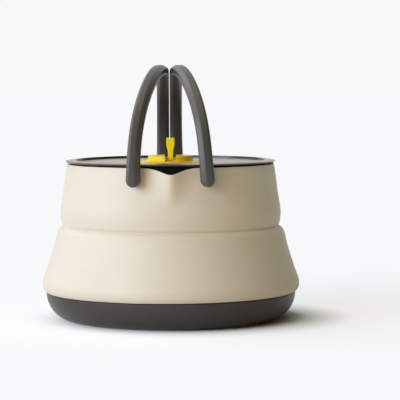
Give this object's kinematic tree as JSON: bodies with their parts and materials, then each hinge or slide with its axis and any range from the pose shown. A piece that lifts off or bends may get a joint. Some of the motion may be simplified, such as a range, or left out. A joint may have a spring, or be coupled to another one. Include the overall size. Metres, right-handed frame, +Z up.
{
  "type": "collapsible kettle",
  "caption": "Collapsible camping kettle: dark aluminium pan, folding bone-white silicone wall with a V spout, nylon lid with a yellow folding tab, and two bail handles.",
  "frame": {"origin": "centre of the underside of the pan, on the surface that the kettle stands on", "axes": "+Z up along the kettle's axis, the spout points to -Y, +X to the right of someone facing the spout"},
  "size_m": [0.1518, 0.1518, 0.1497],
  "materials": {
    "hard_anodised_aluminium": "satin hard-anodised",
    "bone_white_silicone": "matte moulded silicone",
    "dark_grey_nylon": "satin glass-filled nylon",
    "yellow_nylon": "satin moulded nylon",
    "stainless_steel": "satin",
    "black_silicone": "matte"
  },
  "bodies": {
    "base": {"base_pan": "hard_anodised_aluminium", "lower_wall_band": "bone_white_silicone", "middle_wall_fold": "bone_white_silicone"},
    "upper": {"upper_wall": "bone_white_silicone", "rim_ring": "dark_grey_nylon", "pivot_pin_front_left": "stainless_steel", "pivot_pin_front_right": "stainless_steel", "pivot_pin_rear_left": "stainless_steel", "pivot_pin_rear_right": "stainless_steel", "pivot_washer_front_left": "stainless_steel", "pivot_washer_front_right": "stainless_steel", "pivot_washer_rear_left": "stainless_steel", "pivot_washer_rear_right": "stainless_steel"},
    "left_bail": {"left_handle": "dark_grey_nylon"},
    "right_bail": {"right_handle": "dark_grey_nylon"},
    "lid": {"lid_disc": "dark_grey_nylon", "lid_gasket": "black_silicone", "knob_base": "yellow_nylon", "knob_screw_left": "stainless_steel", "knob_screw_right": "stainless_steel", "tab_pin": "stainless_steel"},
    "tab": {"lift_tab": "yellow_nylon"}
  },
  "joints": [
    {"name": "collapse", "type": "slide", "parent": "base", "child": "upper", "axis": [0, 0, -1], "range_m": [0, 0.046], "deforming": ["middle_wall_fold"]},
    {"name": "left_handle_fold", "type": "hinge", "parent": "upper", "child": "left_bail", "pos_m": [-0.0208, -0.06401, 0.0851], "axis": [-0.1232, -0.9924, 0], "range_deg": [0, 95]},
    {"name": "right_handle_fold", "type": "hinge", "parent": "upper", "child": "right_bail", "pos_m": [0.0208, -0.06401, 0.0851], "axis": [-0.1232, 0.9924, 0], "range_deg": [0, 95]},
    {"name": "lid_lift", "type": "slide", "parent": "upper", "child": "lid", "axis": [0, 0, 1], "range_m": [0, 0.009]},
    {"name": "tab_fold", "type": "hinge", "parent": "lid", "child": "tab", "pos_m": [0, 0.001, 0.0949], "axis": [-1, 0, 0], "range_deg": [0, 90]}
  ]
}
